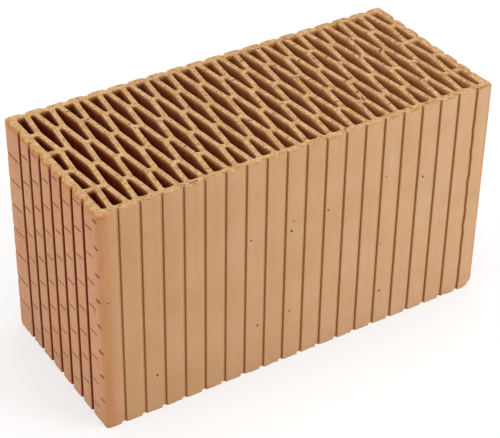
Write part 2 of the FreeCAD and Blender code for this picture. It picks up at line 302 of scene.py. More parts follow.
def add_top(clay, rims, normals, height, box):
    """Ground top face between the rims, with shallow waves and cracks."""
    grid_step, clear_of_rim, crack_clear_of_rim, clear_of_crack = 1.75, 0.75, 0.45, 0.8
    outlines = flat_rings(clay, rims)
    flat = [tuple(p) for outline in outlines for p in outline]
    indices = [i for rim in rims for i in rim]
    rim_tree = tree_of(along_rings(outlines, 0.5))
    solid = inside_test(outlines)
    cracks = crack_points(outlines, normals)
    crack_tree = tree_of(cracks)
    taken = [m for m in cracks
             if rim_tree.find((m[0], m[1], 0))[2] > crack_clear_of_rim and solid(m[0], m[1])]
    for x, y in inside_rows(outlines, box, grid_step):
        place = (x, y, 0)
        if rim_tree.find(place)[2] > clear_of_rim and crack_tree.find(place)[2] > clear_of_crack:
            taken.append((x, y, 0.0))
    for x, y, depth in taken:
        place = (x, y, height)
        drop = 0.12 + 0.1 * rough(place, 9) + 0.1 * abs(rough(place, 2.2, seed=5))
        flat.append((x, y))
        # The darkness is painted shade, deeper in deeper cracks and pores.
        indices.append(clay.add((x, y, height - max(drop, 0.01) - depth), dark=min(1.0, depth / 0.9)))
    clay.join(flat, indices, [len(o) for o in outlines])


def inside_test(outlines):
    """A test of whether a point of the plan lies in the clay."""
    starts = np.concatenate(outlines)
    ends = np.concatenate([np.roll(o, -1, axis=0) for o in outlines])

    def test(x, y):
        crosses = (starts[:, 1] > y) != (ends[:, 1] > y)
        a, b = starts[crosses], ends[crosses]
        hits = a[:, 0] + (y - a[:, 1]) / (b[:, 1] - a[:, 1]) * (b[:, 0] - a[:, 0])
        return bool((hits < x).sum() % 2)

    return test


def add_bottom(clay, feet):
    """Ground bottom face between the feet of all walls."""
    outlines = flat_rings(clay, feet)
    flat = [tuple(p) for outline in outlines for p in outline]
    indices = [i for foot in feet for i in foot]
    first = len(clay.faces)
    clay.join(flat, indices, [len(o) for o in outlines])
    clay.faces[first:] = [face[::-1] for face in clay.faces[first:]]


def rim_wear(place, size):
    """How far a rim is worn back, in ragged patches."""
    ragged = max(0.0, rough(place, 3.1, seed=11) + 0.1)
    patches = max(0.0, rough(place, 17, seed=23) + 0.25)
    return size * (0.18 + 0.9 * ragged * patches)


def add_ring(clay, outline, normals, z, inset, tint):
    """One level of a wall, moved into the clay by an inset at each point."""
    ring = []
    for i, (point, normal) in enumerate(zip(outline, normals)):
        moved = point - normal * inset[i]
        ring.append(clay.add((moved[0], moved[1], z[i]), **tint))
    return ring


# Wear of the voids: the least at their rims, its ragged part, and what the walls lose on the way down.
VOID_RIM_WEAR = 0.35
VOID_RIM_RAGGED = 0.75
VOID_WALL_WEAR = 0.3
# Levels of a void's wall below the top, with the share of painted shade that darkens the wall with depth.
VOID_LEVELS = ((0.9, 0.4), (2.5, 0.75), (5.0, 1.0), (10.0, 1.0), (60.0, 1.0))


def add_void_wall(clay, outline, normals, height):
    """Wall of one void, with a worn rim at the top.  Returns its rim and foot."""
    count = len(outline)
    wear = [VOID_RIM_WEAR + rim_wear((p[0], p[1], height), VOID_RIM_RAGGED) for p in outline]
    rim = add_ring(clay, outline, normals, [height - 0.45 * w for w in wear], wear, {"hollow": 0.0})
    rings = [rim]
    # Each level down holds more of the painted shade of the void.
    for down, deep in VOID_LEVELS + ((height - 1.0, 1.0),):
        sway = [VOID_WALL_WEAR + 0.12 * rough((p[0], p[1], height - down), 14, 4) for p in outline]
        rings.append(add_ring(clay, outline, normals, [height - down] * count, sway, {"hollow": deep}))
    foot = add_ring(clay, outline, normals, [0.0] * count, [VOID_WALL_WEAR] * count, {"hollow": 0.5})
    rings.append(foot)
    for upper, lower in zip(rings, rings[1:]):
        for i in range(count):
            j = (i + 1) % count
            clay.faces.append([lower[i], lower[j], upper[j], upper[i]])
    return rim, foot


class Face:
    """The block's outer wall laid flat: distance along the outline, and height."""

    def __init__(self, outline):
        self.outline = outline
        closed = np.concatenate([outline, outline[:1]])
        self.along = np.concatenate([[0], np.cumsum(np.linalg.norm(np.diff(closed, axis=0), axis=1))])

    def place(self, s):
        """Point of the outline at a distance s."""
        i = int(np.searchsorted(self.along, s, side="right")) - 1
        i = min(max(i, 0), len(self.outline) - 1)
        j = (i + 1) % len(self.outline)
        share = (s - self.along[i]) / (self.along[i + 1] - self.along[i])
        return self.outline[i] + (self.outline[j] - self.outline[i]) * share

    def find(self, x, y):
        """Distance along the outline of the point nearest to a place."""
        gap = np.linalg.norm(self.outline - np.array([x, y]), axis=1)
        i = int(gap.argmin())
        best = None
        for k in (i - 1, i):
            a, b = self.outline[k], self.outline[(k + 1) % len(self.outline)]
            share = min(1.0, max(0.0, float(np.dot([x, y] - a, b - a) / np.dot(b - a, b - a))))
            away = float(np.linalg.norm(a + (b - a) * share - np.array([x, y])))
            if best is None or away < best[0]:
                best = (away, self.along[k] + share * float(np.linalg.norm(b - a)))
        return best[1] % self.along[-1]


def end_strips(outline, box):
    """Flat strips of the left and right end faces, as spans of Y, from far to near."""
    least_break = 4.9
    strips = {}
    for side, x in ((-1, box[0][0]), (1, box[1][0])):
        on_face = np.sort(outline[np.abs(outline[:, 0] - x) < 0.2][:, 1])[::-1]
        breaks = [0]
        breaks += [i + 1 for i in range(len(on_face) - 1) if on_face[i] - on_face[i + 1] > least_break]
        breaks.append(len(on_face))
        strips[side] = [(on_face[a], on_face[b - 1]) for a, b in zip(breaks, breaks[1:]) if b - a > 1]
    return strips


# Score marks of the end faces: half widths, how far below the top the two staggered kinds of row start,
# the step between rows, and how much lower the far strip's rows lie.
MARK_HALF = 0.95
EDGE_MARK_HALF = 1.6
MARK_ROWS = 8
MARK_TOPS = (8.0, 22.3)
MARK_STEP = 29.7
FAR_STRIP_DROP = 28.8
# Section of a mark in half widths: height, depth and darkness, the painted shade inside the cut.
MARK_SECTION = ((-1.0, 0.0, 0.0), (-0.55, 1.6, 1.0), (0.55, 1.6, 1.0), (1.0, 0.0, 0.0))


def score_marks(outline, box, height):
    """Short level cuts on the strips of both end faces, in staggered rows.

    Each mark has its side, its two ends in Y, its Z and its half width.
    """
    lowest = 4.0
    marks = []
    for side, strips in end_strips(outline, box).items():
        last = len(strips) - 1
        for number, (far, near) in enumerate(strips):
            spans = [(far - 0.4, near + 1.0, MARK_HALF)]
            if number == 0:
                spans = [(far - 1.0, near + 0.6, MARK_HALF)]
            if number == last:
                spans = [(far - 0.4, far - 14.5, MARK_HALF)]
                if side < 0:
                    spans.append((far - 16.0, near + 1.5, EDGE_MARK_HALF))
            for part, (start, stop, half) in enumerate(spans):
                first = MARK_TOPS[(number + part) % 2]
                for row in range(MARK_ROWS):
                    z = height - first - MARK_STEP * row - 0.22 * number + chance.uniform(-0.5, 0.5)
                    if number == 0:
                        z -= FAR_STRIP_DROP
                    if z > lowest:
                        begin = start - chance.uniform(0, 1.0)
                        finish = stop + chance.uniform(-0.6, 1.2)
                        marks.append((side, begin, finish, z, half * chance.uniform(0.9, 1.15)))
    return marks


# Pits of the near face that the photo shows: distance from the left end, depth below the top, radius.
SEEN_PITS = (
    (56, 206, 1.5), (169, 192, 1.5), (206, 92, 1.7), (208, 81, 1.0), (248, 83, 1.3), (160, 86, 1.2),
    (206, 189, 1.3), (317, 208, 1.4), (362, 83, 1.4), (316, 67, 1.0), (315, 148, 1.0), (7, 99, 1.1),
)
SMALL_PITS = 12
PIT_SIDES = 7


def wall_pits(box, height):
    """Small holes in the near long face, the seen ones and smaller random ones: X, Z and radius."""
    left, right, margin = box[0][0], box[1][0], 6
    pits = [(left + x, height - down, radius) for x, down, radius in SEEN_PITS]
    for _ in range(SMALL_PITS):
        x = chance.uniform(left + margin, right - margin)
        z = chance.uniform(margin, height - margin)
        pits.append((x, z, chance.uniform(0.4, 0.6)))
    return pits


WAYS_IN = np.array([(1.0, 0.0), (-1.0, 0.0), (0.0, 1.0), (0.0, -1.0)])
# Points of the outline this close to a face belong to it or to its grooves.
FACE_BAND = 4.0
# Wear along the top rim: on the left end, on the far side, at the right corners and elsewhere.
LEFT_RIM_WEAR = 3.0
FAR_RIM_WEAR = 0.5
RIGHT_CORNER_WEAR = 0.35
RIM_WEAR = 1.1


def face_depths(point, box):
    """Depth of a point below the left, right, near and far faces."""
    return (point[0] - box[0][0], box[1][0] - point[0], point[1] - box[0][1], box[1][1] - point[1])


def groove_depth(point, box):
    """How deep a point of the outline lies below the block's flat faces."""
    return min(face_depths(point, box))


def way_in(point, box):
    """Way into the clay from the face that a point of the outline belongs to."""
    return WAYS_IN[int(np.argmin(face_depths(point, box)))]


def on_end(point, box):
    """Whether a point of the outline belongs to an end face or its grooves."""
    return min(point[0] - box[0][0], box[1][0] - point[0]) < FACE_BAND


def groove_split_test(box):
    """A test of whether a side of the outline is split: groove floors, and on the ends groove walls too."""
    return lambda point: groove_depth(point, box) > (0.7 if on_end(point, box) else 2.0)


def groove_shade_tint(point, normal, box):
    """Painted shade of the grooves: on the long faces on their walls facing -X, away from the key light, and
    on the end faces at all their depths.
    """
    depth = groove_depth(point, box)
    if on_end(point, box):
        return min(1.0, max(0.0, (depth - 0.35) / 0.6))
    return min(1.0, depth) if depth > 0.3 and normal[0] < -0.6 else 0.0


def groove_floor_light_tint(point, normal, box):
    """Painted light on the groove floors of the long faces, away from their shaded side, that offsets the
    shade there.
    """
    if on_end(point, box) or groove_depth(point, box) < 2.0 or normal[0] < -0.6:
        return 0.0
    return 1.0


def warm_tint(point, box):
    """Pinker clay on both end faces, and beside the first groove of the near face."""
    left, right, near, _ = face_depths(point, box)
    if near < 1 and 8 < left < 15:
        return 0.7
    return 1.0 if min(left, right) < 3.5 else 0.0


def toast_tint(point, box):
    """Browner clay on both sides of the near left edge."""
    left, _, near, _ = face_depths(point, box)
    if near < FACE_BAND and left < 16:
        return min(1.0, max(0.0, (15 - left) / 8))
    return max(0.0, 1 - near / 16) if left < FACE_BAND else 0.0


def round_edge(point, box):
    """Move a point of the outline onto the rubbed, rounder near left edge if it lies there."""
    radius = 5.0
    middle = np.array([box[0][0] + radius, box[0][1] + radius])
    way = point - middle
    if way.max() >= 0 or np.linalg.norm(way) <= radius:
        return point
    return middle + unit(way) * radius


def rim_size(point, box):
    """Size of the wear along the top rim: most on the left end, little on the far side and right corners."""
    left, right, near, far = face_depths(point, box)
    if left < FACE_BAND:
        return LEFT_RIM_WEAR
    if far < FACE_BAND:
        return FAR_RIM_WEAR
    return RIGHT_CORNER_WEAR if right < 9 and min(near, far) < 9 else RIM_WEAR


def mouth_distances(face, box):
    """Distance of each outline point from the nearest groove, along the outline."""
    total = face.along[-1]
    inside = [face.along[i] for i, p in enumerate(face.outline) if groove_depth(p, box) > 0.3]
    inside = np.array(inside)
    gaps = np.abs(face.along[:-1, None] - inside[None, :])
    return np.minimum(gaps, total - gaps).min(axis=1)


def mark_points(face, box, height):
    """Points of the score marks on the flat wall: distance along it, height, depth and darkness of painted
    shade.
    """
    total = face.along[-1]
    points = []
    for side, start, stop, z, half in score_marks(face.outline, box, height):
        x = box[0][0] if side < 0 else box[1][0]
        a = face.find(x, start)
        b = a + (face.find(x, stop) - a + total / 2) % total - total / 2
        steps = max(4, round(abs(b - a) / 2.0))
        slope = chance.uniform(-0.02, 0.02)
        for k in range(steps + 1):
            share = k / steps
            s = a + (b - a) * share
            thin = min(1.0, 8 * share + 0.4, 8 * (1 - share) + 0.4)
            middle = z + slope * (s - a) + chance.uniform(-0.12, 0.12)
            for aside, deep, dark in MARK_SECTION:
                points.append((s, middle + aside * half * thin, deep * half * thin, dark))
        past_end = 0.5 * math.copysign(1, b - a)
        for end in (a - past_end, b + past_end):
            points.append((end, z + slope * (end - a), 0.0, 0.0))
    return points


def pit_points(face, box, height):
    """Points of the pits on the flat wall, as for the marks, apart from pits that would meet a groove."""
    total = face.along[-1]
    reach_of_pit = 2.2
    points = []
    for x, z, radius in wall_pits(box, height):
        s = face.find(x, box[0][1])
        under = [face.place((s + aside) % total) for aside in (-reach_of_pit, 0.0, reach_of_pit)]
        if any(groove_depth(point, box) > 0.05 for point in under):
            continue
        points.append((s, z, 1.4 * radius, 1.0))
        for k in range(PIT_SIDES):
            angle = 2 * math.pi * k / PIT_SIDES
            reach = radius * chance.uniform(0.85, 1.15)
            across, up = reach * math.cos(angle), reach * math.sin(angle)
            points.append((s + 0.65 * across, z + 0.65 * up, radius, 1.0))
            points.append((s + across, z + up, 0.0, 0.0))
    return points


def add_outer_wall(clay, outline, normals, height, box):
    """Grooved outer wall with score marks and pits.  Returns its rim and foot."""
    face = Face(outline)
    count = len(outline)
    total = face.along[-1]
    # Painted shade in the grooves, and painted light on the groove floors of the long faces.
    seam = [groove_shade_tint(p, n, box) for p, n in zip(outline, normals)]
    hues = [{"warm": warm_tint(p, box), "toast": toast_tint(p, box), "pale": groove_floor_light_tint(p, n, box)}
            for p, n in zip(outline, normals)]
    from_groove = mouth_distances(face, box)
    edge_levels = [0.7, 1.8, 4.0]
    levels = edge_levels + list(np.linspace(9, height - 9, 26))
    levels += [height - z for z in reversed(edge_levels)]

    def scallop(i, z):
        """Rounding of the strips towards the grooves at the top rim, strongest far and right."""
        point = outline[i]
        strong = point[1] > box[1][1] - FACE_BAND or point[0] > box[1][0] - FACE_BAND
        size = 0.9 if strong else 0.5
        return size * max(0.0, 1 - from_groove[i] / 3.6) ** 2 * max(0.0, 1 - (height - z) / 6.0)

    def groove_look(i, z):
        """Tints of a groove: its painted shade, weaker at the top rim, and on the left end orange crumbs that
        fill its top in place of the shade.
        """
        if outline[i][0] > box[0][0] + FACE_BAND:
            return {"seam": seam[i] * (0.3 if z >= height else 1.0), "raw": 0.0}
        place = (outline[i][0], outline[i][1], z)
        open_share = min(1.0, max(0.0, (height - z - 2.0 - 3.0 * rough(place, 9, seed=8)) / 3.0))
        crumbs = max(0.0, 1 - from_groove[i] / 5.0) * (1 - open_share)
        return {"seam": seam[i] * open_share, "raw": 0.9 * crumbs}

    def skin_at(point, z):
        """The fired skin is worn off along the top rim, apart from the crumbled rim of the left end."""
        if point[0] < box[0][0] + 12:
            return 1.0
        band = 0.7 + 2.2 * max(0.0, rough((point[0], point[1], z), 6, 0.6, seed=13))
        return min(1.0, max(0.0, (height - z) / band - 0.25))

    def worn_point(point, z, extra=0.0):
        """A place of the wall moved in by wear, which fades towards the groove floors, and its chipping."""
        place = (point[0], point[1], z)
        point = round_edge(point, box)
        sway = 0.12 + 0.08 * rough(place, 26, 5) + 0.04 * rough(place, 5, 3, seed=3)
        edge = min(z, height - z)
        chip = max(0.0, rough(place, 7, seed=17) - 0.12) * 2.0 * max(0.0, 1 - edge / 3.2)
        fade = max(0.0, 1 - groove_depth(point, box) / 3.0)
        moved = point + way_in(point, box) * (sway + chip + extra) * fade
        return (moved[0], moved[1], z), chip

    flat, indices = [], []
    rim_wears = [rim_wear((p[0], p[1], height), rim_size(p, box)) for p in outline]
    rim = []
    for i, point in enumerate(outline):
        place, chip = worn_point(point, height, rim_wears[i] + scallop(i, height))
        sunk = (place[0], place[1], height - 0.4 * rim_wears[i])
        look = groove_look(i, height)
        look["raw"] = min(1, look["raw"] + 0.6 * chip)
        rim.append(clay.add(sunk, **look, **hues[i]))
    foot = []
    for i, point in enumerate(outline):
        place, chip = worn_point(point, 0.0, 0.2)
        foot.append(clay.add(place, skin=1.0, seam=seam[i], raw=min(1, chip), **hues[i]))
    for i in list(range(count)) + [0]:
        s = face.along[i] if len(flat) < 2 * count else total
        flat += [(s, height), (s, 0.0)]
        indices += [rim[i], foot[i]]

    special = mark_points(face, box, height) + pit_points(face, box, height)
    special_tree = tree_of([(s, z) for s, z, _, _ in special])

    for s, z, depth, dark in special:
        point = face.place(s % total)
        if groove_depth(point, box) > 0.3:
            continue
        place, _ = worn_point(point, z, depth)
        flat.append((s % total, z))
        burnt = {"warm": warm_tint(point, box), "toast": toast_tint(point, box)}
        # The darkness is painted shade inside the marks and pits.
        indices.append(clay.add(place, skin=1.0, dark=dark, **burnt))
    first_column, upright = [], []
    for i in range(count + 1):
        point = outline[i % count]
        s = face.along[i]
        at_groove = from_groove[i % count] < 1.5
        below = 2 * i + 1
        for k, z in enumerate(levels):
            if special_tree.find((s, z, 0))[2] < 1.1 and 0 < i < count and not at_groove:
                continue
            if i == count:
                index = first_column[k]
            else:
                place, chip = worn_point(point, z, scallop(i, z))
                look = groove_look(i, z)
                look["raw"] = min(1, look["raw"] + 0.6 * chip)
                index = clay.add(place, skin=skin_at(point, z), **look, **hues[i])
            if i == 0:
                first_column.append(index)
            if at_groove:
                upright.append((below, len(flat)))
                below = len(flat)
            flat.append((s, z))
            indices.append(index)
        if at_groove:
            upright.append((below, 2 * i))
    clay.join(flat, indices, edges=upright)
    return rim, foot


# Damage on the finished surface


def knock_off(clay, corner, way_out, depth, raggedness):
    """Break a corner off along a rough plane that lies at a depth below it."""
    way = unit(np.array(way_out, float))
    reach = float(np.dot(corner, way)) - depth
    for i, point in enumerate(clay.points):
        over = float(np.dot(point, way)) - reach
        if over < -0.6:
            continue
        over -= raggedness * rough(point, 3.2, seed=31) + 0.4 * raggedness * rough(point, 1.4, seed=7)
        if over > 0:
            clay.points[i] = tuple(np.array(point) - way * over)
            clay.tints[i]["raw"] = 1.0
            # A break loses most of the painted shade of the cracks it cuts into.
            clay.tints[i]["dark"] *= 0.3


def waver(clay, x, near, reach, size):
    """Let one groove of the near face wander sideways, as where the clay dragged."""
    for i, point in enumerate(clay.points):
        away = abs(point[0] - x) / reach
        if away < 1 and point[1] < near + 3.6:
            drift = rough((0, 0, point[2]), 13, seed=2) + 0.6 * rough((0, 0, point[2]), 5, seed=9)
            moved = point[0] + size * drift * (1 - away * away)
            clay.points[i] = (moved, point[1], point[2])


def keep_in_box(clay, box):
    """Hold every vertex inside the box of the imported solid."""
    low, high = np.array(box[0]), np.array(box[1])
    clay.points = [tuple(np.clip(p, low, high)) for p in clay.points]


def close_gaps(mesh):
    """Close the small gaps at the worn corners, where the outline crosses itself."""
    form = bmesh.new()
    form.from_mesh(mesh)
    bmesh.ops.holes_fill(form, edges=[edge for edge in form.edges if edge.is_boundary], sides=8)
    form.to_mesh(mesh)
    form.free()


# Steps of the mesh along the outlines: on the crumbled left end, on the rest of the wall, and in the voids.
LEFT_STEP = 1.4
WALL_STEP = 3.6
VOID_STEP = 2.8


def build_block(node):
    """The block's surface as one closed mesh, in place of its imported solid."""
    outlines, height = read_section(node)
    low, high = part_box(NODE)
    box = (np.array(low) / MM, np.array(high) / MM)
    crumbled = box[0][0] + 1

    def wall_step(point):
        return LEFT_STEP if point[0] < crumbled else WALL_STEP

    def void_step(_):
        return VOID_STEP

    outer = soften(outlines[0], cut=0.6, least_turn=30)
    outer = resample(outer, wall_step, least=0.5, halve=groove_split_test(box))
    voids = [soften(outline, cut=4.5, least_turn=15) for outline in outlines[1:]]
    outlines = [outer] + [resample(outline, void_step, least=1.0) for outline in voids]
    normals = [side_normals(o) for o in outlines]
    clay = Clay()
    rims, feet = [], []
    rim, foot = add_outer_wall(clay, outer, normals[0], height, box)
    rims.append(rim)
    feet.append(foot)
    for outline, normal in zip(outlines[1:], normals[1:]):
        rim, foot = add_void_wall(clay, outline, normal, height)
        rims.append(rim)
        feet.append(foot)
    add_top(clay, rims, normals, height, box)
    add_bottom(clay, feet)

    left, right, near, far = box[0][0], box[1][0], box[0][1], box[1][1]
    knock_off(clay, (left, near, height), way_out=(-0.4, -0.45, 0.8), depth=3.6, raggedness=1.5)
    knock_off(clay, (right, near, 0), way_out=(0.6, -0.5, -0.6), depth=5.0, raggedness=0.9)
    knock_off(clay, (left, far, height), way_out=(-0.7, 0.25, 0.6), depth=0.9, raggedness=0.6)
    waver(clay, right - 19.3, near, reach=7.0, size=1.5)
    keep_in_box(clay, box)

    mesh = bpy.data.meshes.new(PIECE)
    mesh.from_pydata([Vector(p) * MM for p in clay.points], [], clay.faces)
    for name in TINTS:
        layer = mesh.attributes.new(name, "FLOAT", "POINT")
        layer.data.foreach_set("value", [t[name] for t in clay.tints])
    mesh.validate()
    close_gaps(mesh)
    mesh.shade_smooth()
    mesh.set_sharp_from_angle(angle=math.radians(42))
    block = bpy.data.objects.new(PIECE, mesh)
    bpy.context.scene.collection.objects.link(block)
    return block


# Colour and surface


class Nodes:
    """Short ways to place and join shader nodes."""

    def __init__(self, tree):
        self.tree = tree

    def add(self, kind, **values):
        node = self.tree.nodes.new(kind)
        for name, value in values.items():
            setattr(node, name, value)
        return node

    def link(self, source, target):
        self.tree.links.new(source, target)

    def feed(self, socket, value):
        if isinstance(value, bpy.types.NodeSocket):
            self.link(value, socket)
        else:
            socket.default_value = value

    def tint(self, name):
        return self.add("ShaderNodeAttribute", attribute_name=name).outputs["Fac"]

    def mix(self, share, a, b, blend="MIX"):
        node = self.add("ShaderNodeMix", data_type="RGBA", blend_type=blend)
        self.feed(node.inputs["Factor"], share)
        for name, value in (("A", a), ("B", b)):
            socket = [s for s in node.inputs if s.name == name and s.type == "RGBA"][0]
            self.feed(socket, value)
        return [s for s in node.outputs if s.type == "RGBA"][0]

    def math(self, operation, a, b=0.0):
        node = self.add("ShaderNodeMath", operation=operation)
        self.feed(node.inputs[0], a)
        self.feed(node.inputs[1], b)
        return node.outputs[0]

    def span(self, value, low, high, start=0.0, stop=1.0):
        node = self.add("ShaderNodeMapRange", clamp=True)
        for name, number in (("From Min", low), ("From Max", high), ("To Min", start), ("To Max", stop)):
            node.inputs[name].default_value = number
        self.link(value, node.inputs["Value"])
        return node.outputs["Result"]

    def coordinates(self, scale):
        place = self.add("ShaderNodeTexCoord").outputs["Object"]
        node = self.add("ShaderNodeMapping")
        node.inputs["Scale"].default_value = scale
        self.link(place, node.inputs["Vector"])
        return node.outputs["Vector"]

    def noise(self, scale, detail=3.0, stretch=(1, 1, 1), roughness=0.55):
        node = self.add("ShaderNodeTexNoise")
        node.inputs["Scale"].default_value = scale
        node.inputs["Detail"].default_value = detail
        node.inputs["Roughness"].default_value = roughness
        self.link(self.coordinates(stretch), node.inputs["Vector"])
        return node.outputs["Fac"]

    def along(self, axis, low, high):
        """0 to 1 between two places on an axis of the block."""
        node = self.add("ShaderNodeSeparateXYZ")
        self.link(self.add("ShaderNodeTexCoord").outputs["Object"], node.inputs["Vector"])
        return self.span(node.outputs[axis], low, high)

    def seen_rays(self):
        """1 for what the camera sees, itself or through a reflection or a clear piece, 0 for light."""
        path = self.add("ShaderNodeLightPath").outputs
        seen = self.math("MAXIMUM", path["Is Camera Ray"], path["Is Glossy Ray"])
        return self.math("MAXIMUM", seen, path["Is Transmission Ray"])

    def pores(self, scale, size, stretch=(1, 1, 1)):
        """1 inside scattered small pores, 0 elsewhere."""
        node = self.add("ShaderNodeTexVoronoi")
        node.inputs["Scale"].default_value = scale
        self.link(self.coordinates(stretch), node.inputs["Vector"])
        return self.span(node.outputs["Distance"], size, 0.4 * size)


def colour(red, green, blue):
    return (red, green, blue, 1.0)


class ClayTextures:
    """Noises, pores and ramps that the clay's colours and relief share."""

    def __init__(self, n):
        self.patches = n.noise(22.0, 4.0)
        self.blush = n.noise(70.0, 3.0, (1, 1, 0.3))
        self.grain = n.noise(420.0, 4.0)
        self.fine = n.noise(1500.0, 3.0)
        self.streaks = n.noise(160.0, 4.0, (1, 1, 0.035))
        self.drags = n.noise(230.0, 3.0, (0.12, 1.0, 1.0))
        self.holes = n.pores(330.0, 0.34)
        self.specks = n.pores(75.0, 0.055)
        self.mottle = n.noise(130.0, 3.0)
        self.rightward = n.along("X", -0.2, 0.2)
        self.at_left_end = n.along("X", -0.205, -0.217)
        low_band, high_band = n.along("Z", 0.2415, 0.2475), n.along("Z", 0.2455, 0.249)
        self.near_top = n.mix(self.at_left_end, high_band, low_band)


def ground_colour(n, look):
    """Ground bed faces: grainy, with pale drag lines, stains and open holes darkened by painted shade."""
    ground = n.mix(n.span(look.grain, 0.35, 0.68), colour(0.40, 0.215, 0.09), colour(0.68, 0.42, 0.21))
    ground = n.mix(n.span(look.drags, 0.42, 0.68, 0.0, 0.35), ground, colour(0.70, 0.45, 0.235))
    more_rightward = n.span(look.rightward, 0.0, 1.0, 0.4, 1.0)
    stain = n.math("MULTIPLY", n.span(look.mottle, 0.46, 0.62, 0.0, 0.75), more_rightward)
    ground = n.mix(stain, ground, colour(0.43, 0.21, 0.08))
    # Painted shade inside the open holes, which have only bump relief.
    pore_shade = n.math("MULTIPLY", look.holes, n.span(look.mottle, 0.42, 0.62, 0.35, 1.0))
    return n.mix(pore_shade, ground, colour(0.17, 0.06, 0.025))


def skin_colour(n, look):
    """Fired skin of the sides: tan with a painted sheen that grows paler towards the right, pinker on the
    ends, browner beside the near left edge.
    """
    # Painted light: both tones of the skin are paler towards the right.
    tan = n.mix(look.rightward, colour(0.525, 0.285, 0.135), colour(0.60, 0.36, 0.19))
    pale = n.mix(look.rightward, colour(0.56, 0.325, 0.165), colour(0.635, 0.405, 0.232))
    skin = n.mix(n.span(look.patches, 0.35, 0.68), tan, pale)
    streak = n.mix(0.45, tan, colour(0.48, 0.25, 0.12))
    skin = n.mix(n.span(look.streaks, 0.4, 0.72, 0.0, 0.4), skin, streak)
    pink = n.mix(n.span(look.patches, 0.35, 0.68), colour(0.57, 0.285, 0.155), colour(0.61, 0.335, 0.20))
    pink = n.mix(n.span(look.streaks, 0.4, 0.72, 0.0, 0.45), pink, colour(0.52, 0.23, 0.115))
    skin = n.mix(n.math("MULTIPLY", n.tint("warm"), n.span(look.blush, 0.3, 0.6, 0.35, 1.0)), skin, pink)
    brown = n.mix(n.span(look.streaks, 0.35, 0.7), colour(0.52, 0.26, 0.12), colour(0.47, 0.215, 0.09))
    skin = n.mix(n.math("MULTIPLY", n.tint("toast"), 0.85), skin, brown)
    rusty = n.math("MULTIPLY", n.tint("toast"), n.span(look.blush, 0.48, 0.6, 0.0, 0.55))
    skin = n.mix(rusty, skin, colour(0.60, 0.27, 0.125))
    # Painted light: paler clay on the groove floors of the long faces.
    skin = n.mix(n.math("MULTIPLY", n.tint("pale"), 0.5), skin, colour(0.76, 0.48, 0.26))
    skin = n.mix(n.span(look.fine, 0.62, 0.8, 0.0, 0.3), skin, colour(0.42, 0.20, 0.09))
    return n.mix(n.math("MULTIPLY", look.specks, 0.7), skin, colour(0.22, 0.085, 0.035))


def fray_skin(n, look, skin, ground):
    """Skin that ends raggedly at the top, with rusty crumbs and a red fringe on the left end."""
    ragged = n.math("ADD", look.near_top, n.math("MULTIPLY", n.math("SUBTRACT", look.grain, 0.5), 1.3))
    ragged = n.math("ADD", ragged, n.math("MULTIPLY", n.math("SUBTRACT", look.blush, 0.5), 1.1))
    rust = n.mix(look.at_left_end, ground, colour(0.50, 0.18, 0.05))
    crumbs = n.mix(n.span(look.grain, 0.42, 0.6), rust, ground)
    skin = n.mix(n.span(ragged, 0.5, 0.62), skin, crumbs)
    fringe = n.math("MULTIPLY", n.span(ragged, 0.24, 0.38), n.span(ragged, 0.68, 0.54))
    fringe = n.math("MULTIPLY", fringe, n.math("MULTIPLY", look.at_left_end, 0.85))
    return n.mix(fringe, skin, colour(0.50, 0.16, 0.05))


def colour_voids(n, look, shade):
    """Painted shade on the void walls: a lip below the rim, then dark depths where the shade is weaker
    towards the right, and torn grain.
    """
    lip = n.mix(look.rightward, colour(0.50, 0.21, 0.07), colour(0.63, 0.345, 0.15))
    hollow = n.mix(look.rightward, colour(0.22, 0.02, 0.004), colour(0.47, 0.17, 0.055))
    hollow = n.mix(n.span(look.streaks, 0.4, 0.72, 0.0, 0.2), hollow, lip)
    torn = n.mix(n.span(look.grain, 0.38, 0.6), colour(0.78, 0.76, 0.74), colour(1.08, 1.08, 1.08))
    shade = n.mix(n.span(n.tint("hollow"), 0.0, 0.5), shade, lip)
    less_rightward = n.span(look.rightward, 0.0, 1.0, 1.0, 0.7)
    deep = n.math("MULTIPLY", n.span(n.tint("hollow"), 0.5, 1.0), less_rightward)
    shade = n.mix(deep, shade, hollow)
    return n.mix(n.tint("hollow"), shade, torn, "MULTIPLY")


def colour_marks(n, look, shade):
    """Painted shade of the grooves, the orange of breaks, and painted shade inside cuts, cracks and pits."""
    # Painted shade of the grooves, dark red on the end faces.
    seam = n.mix(n.span(look.patches, 0.45, 0.6), colour(0.29, 0.12, 0.032), colour(0.35, 0.10, 0.036))
    seam = n.mix(n.tint("warm"), seam, colour(0.21, 0.012, 0.0))
    raw = n.mix(n.span(look.grain, 0.32, 0.7), colour(0.50, 0.20, 0.05), colour(0.66, 0.35, 0.13))
    inside = n.mix(n.tint("warm"), colour(0.14, 0.04, 0.016), colour(0.22, 0.05, 0.02))
    shade = n.mix(n.tint("seam"), shade, seam)
    shade = n.mix(n.math("MULTIPLY", n.tint("raw"), 0.85), shade, raw)
    return n.mix(n.tint("dark"), shade, inside)


def clay_relief(n, look):
    """Height of the fine relief: grain, holes in the ground faces, specks and lines in the skin."""
    skin = n.tint("skin")
    coarse = n.math("SUBTRACT", 1.0, skin)
    relief = n.math("ADD", n.math("MULTIPLY", look.grain, 0.6), n.math("MULTIPLY", look.fine, 0.25))
    relief = n.math("SUBTRACT", relief, n.math("MULTIPLY", look.holes, n.math("MULTIPLY", coarse, 0.8)))
    relief = n.math("SUBTRACT", relief, n.math("MULTIPLY", look.specks, skin))
    lines = n.math("MULTIPLY", look.streaks, skin)
    return n.math("ADD", relief, n.math("MULTIPLY", lines, 0.5))


